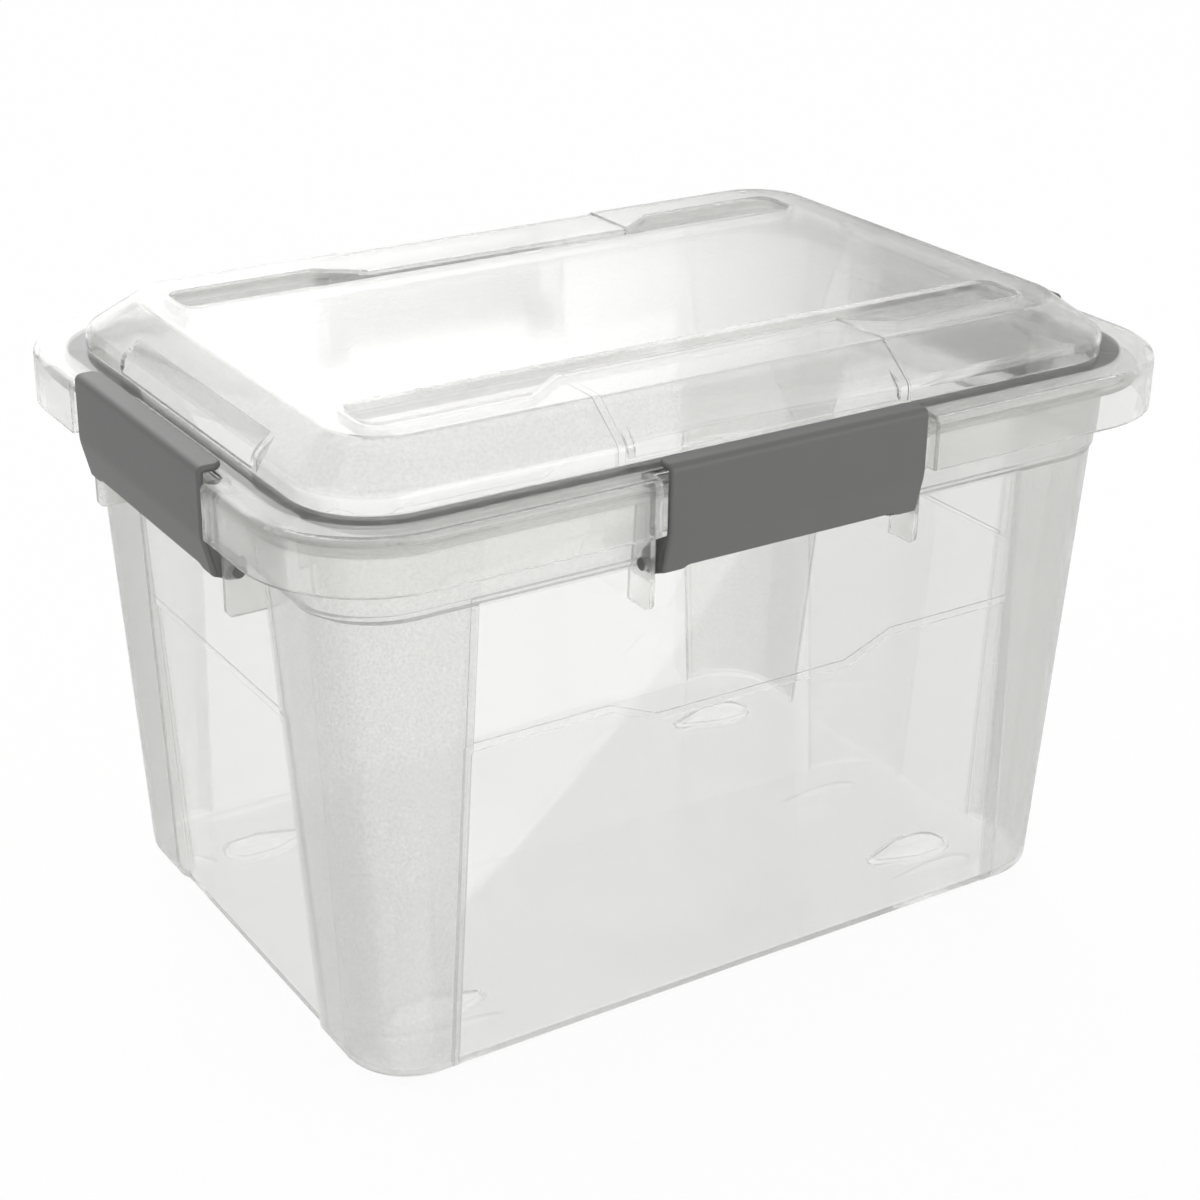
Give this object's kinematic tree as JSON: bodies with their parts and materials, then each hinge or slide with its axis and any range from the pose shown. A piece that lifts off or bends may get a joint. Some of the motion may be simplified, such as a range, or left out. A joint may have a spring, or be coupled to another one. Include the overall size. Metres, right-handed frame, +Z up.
{
  "type": "plastic storage bin",
  "caption": "Clear plastic storage bin with a domed lid, a foam seal under its rim and hinged grey clips that hook over the lid on each side.",
  "frame": {"origin": "on the ground under the middle of the bin", "axes": "+X along the long side, +Y towards the back clip, +Z up"},
  "size_m": [0.4048, 0.286, 0.2623],
  "materials": {
    "clear_plastic": "clear, with finely frosted pillars and lid slopes",
    "foam_gasket": "matt closed-cell foam",
    "grey_plastic": "satin"
  },
  "bodies": {
    "tub": {"tub": "clear_plastic"},
    "lid": {"lid": "clear_plastic", "gasket": "foam_gasket"},
    "front_clip": {"front_clip": "grey_plastic", "front_clip_pin_left": "grey_plastic", "front_clip_pin_right": "grey_plastic"},
    "right_clip": {"right_clip": "grey_plastic", "right_clip_pin_left": "grey_plastic", "right_clip_pin_right": "grey_plastic"},
    "back_clip": {"back_clip": "grey_plastic", "back_clip_pin_left": "grey_plastic", "back_clip_pin_right": "grey_plastic"},
    "left_clip": {"left_clip": "grey_plastic", "left_clip_pin_left": "grey_plastic", "left_clip_pin_right": "grey_plastic"}
  },
  "joints": [
    {"name": "lid_lift", "type": "slide", "parent": "tub", "child": "lid", "axis": [0, 0, 1], "range_m": [0, 0.0146]},
    {"name": "front_clip_hinge", "type": "hinge", "parent": "tub", "child": "front_clip", "pos_m": [0, -0.13, 0.205], "axis": [1, 0, 0], "range_deg": [0, 105]},
    {"name": "right_clip_hinge", "type": "hinge", "parent": "tub", "child": "right_clip", "pos_m": [0.1894, 0, 0.205], "axis": [0, 1, 0], "range_deg": [0, 105]},
    {"name": "back_clip_hinge", "type": "hinge", "parent": "tub", "child": "back_clip", "pos_m": [0, 0.13, 0.205], "axis": [-1, 0, 0], "range_deg": [0, 105]},
    {"name": "left_clip_hinge", "type": "hinge", "parent": "tub", "child": "left_clip", "pos_m": [-0.1894, 0, 0.205], "axis": [0, -1, 0], "range_deg": [0, 105]}
  ],
  "couplings": [
    {"joint": "front_clip_hinge", "follows": "lid_lift", "rad_per_m": 125.52},
    {"joint": "right_clip_hinge", "follows": "lid_lift", "rad_per_m": 125.52},
    {"joint": "back_clip_hinge", "follows": "lid_lift", "rad_per_m": 125.52},
    {"joint": "left_clip_hinge", "follows": "lid_lift", "rad_per_m": 125.52}
  ]
}
